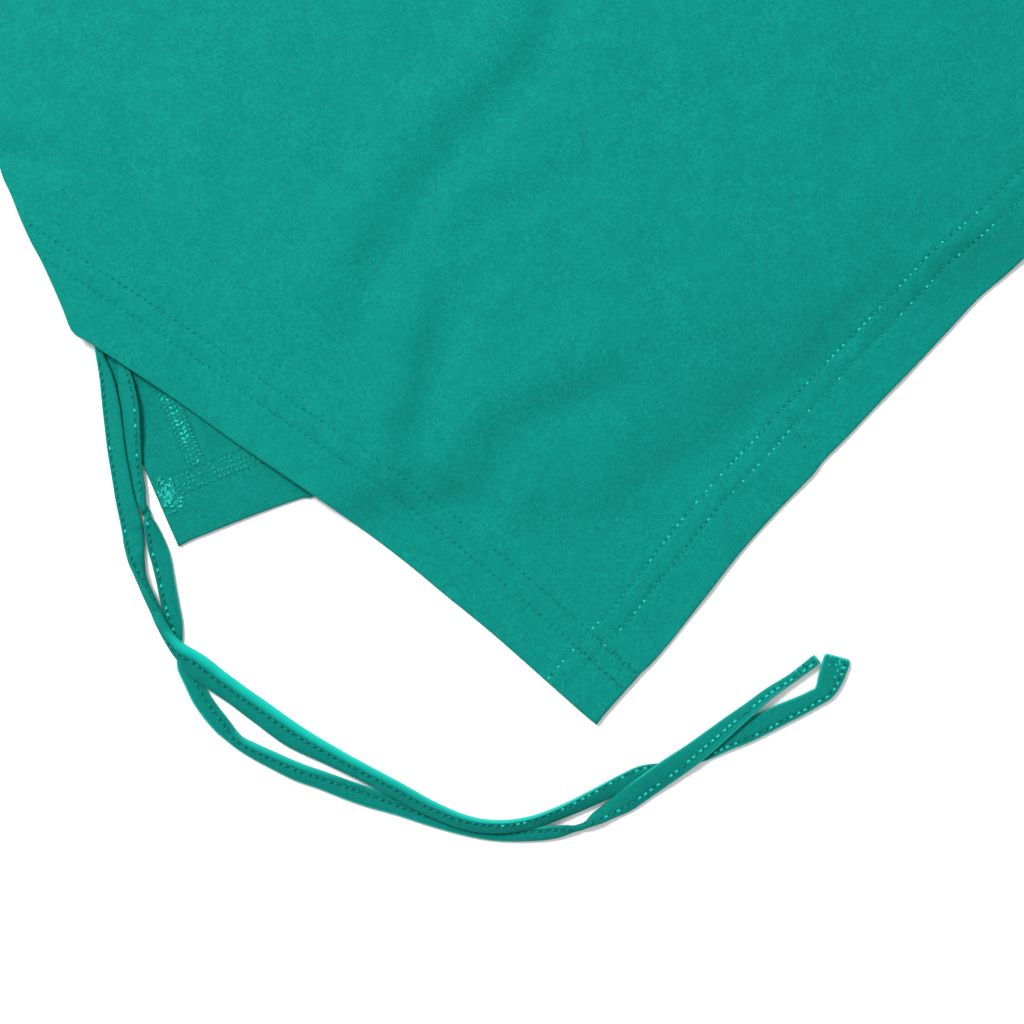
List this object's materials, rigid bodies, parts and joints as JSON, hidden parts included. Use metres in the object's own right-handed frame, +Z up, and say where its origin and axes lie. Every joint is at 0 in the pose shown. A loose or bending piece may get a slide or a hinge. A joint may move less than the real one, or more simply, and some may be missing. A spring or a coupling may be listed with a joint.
{
  "type": "patient gown",
  "caption": "Open-back patient gown in teal cotton jersey with flat back ties, folded lengthwise and laid flat.",
  "frame": {"origin": "middle of the footprint without the ties, on the surface the gown lies on", "axes": "+Y towards the neck, +X towards the sleeves, +Z up"},
  "size_m": [0.4517, 0.9665, 0.0056],
  "materials": {
    "jersey": "heathered teal cotton single jersey, matte",
    "tie_fabric": "teal jersey strip folded flat and topstitched",
    "thread": "spun polyester sewing thread, a shade lighter than the cloth"
  },
  "bodies": {
    "folded_gown": {"left_back_panel": "jersey", "front_panel": "jersey", "right_back_panel": "jersey", "left_sleeve": "jersey", "neck_binding": "jersey", "left_tie": "tie_fabric", "right_tie": "tie_fabric"},
    "back_corner": {"right_back_corner": "jersey"},
    "upper_sleeve": {"right_sleeve": "jersey"}
  },
  "joints": [
    {"name": "back_corner_turn", "type": "hinge", "parent": "folded_gown", "child": "back_corner", "pos_m": [-0.168, -0.20185, 0.006], "axis": [-0.9205, 0.3907, 0], "range_deg": [0, 165]},
    {"name": "upper_sleeve_turn", "type": "hinge", "parent": "folded_gown", "child": "upper_sleeve", "pos_m": [0.085, 0.30815, 0.006], "axis": [0.2326, -0.9726, 0], "range_deg": [0, 160]}
  ]
}
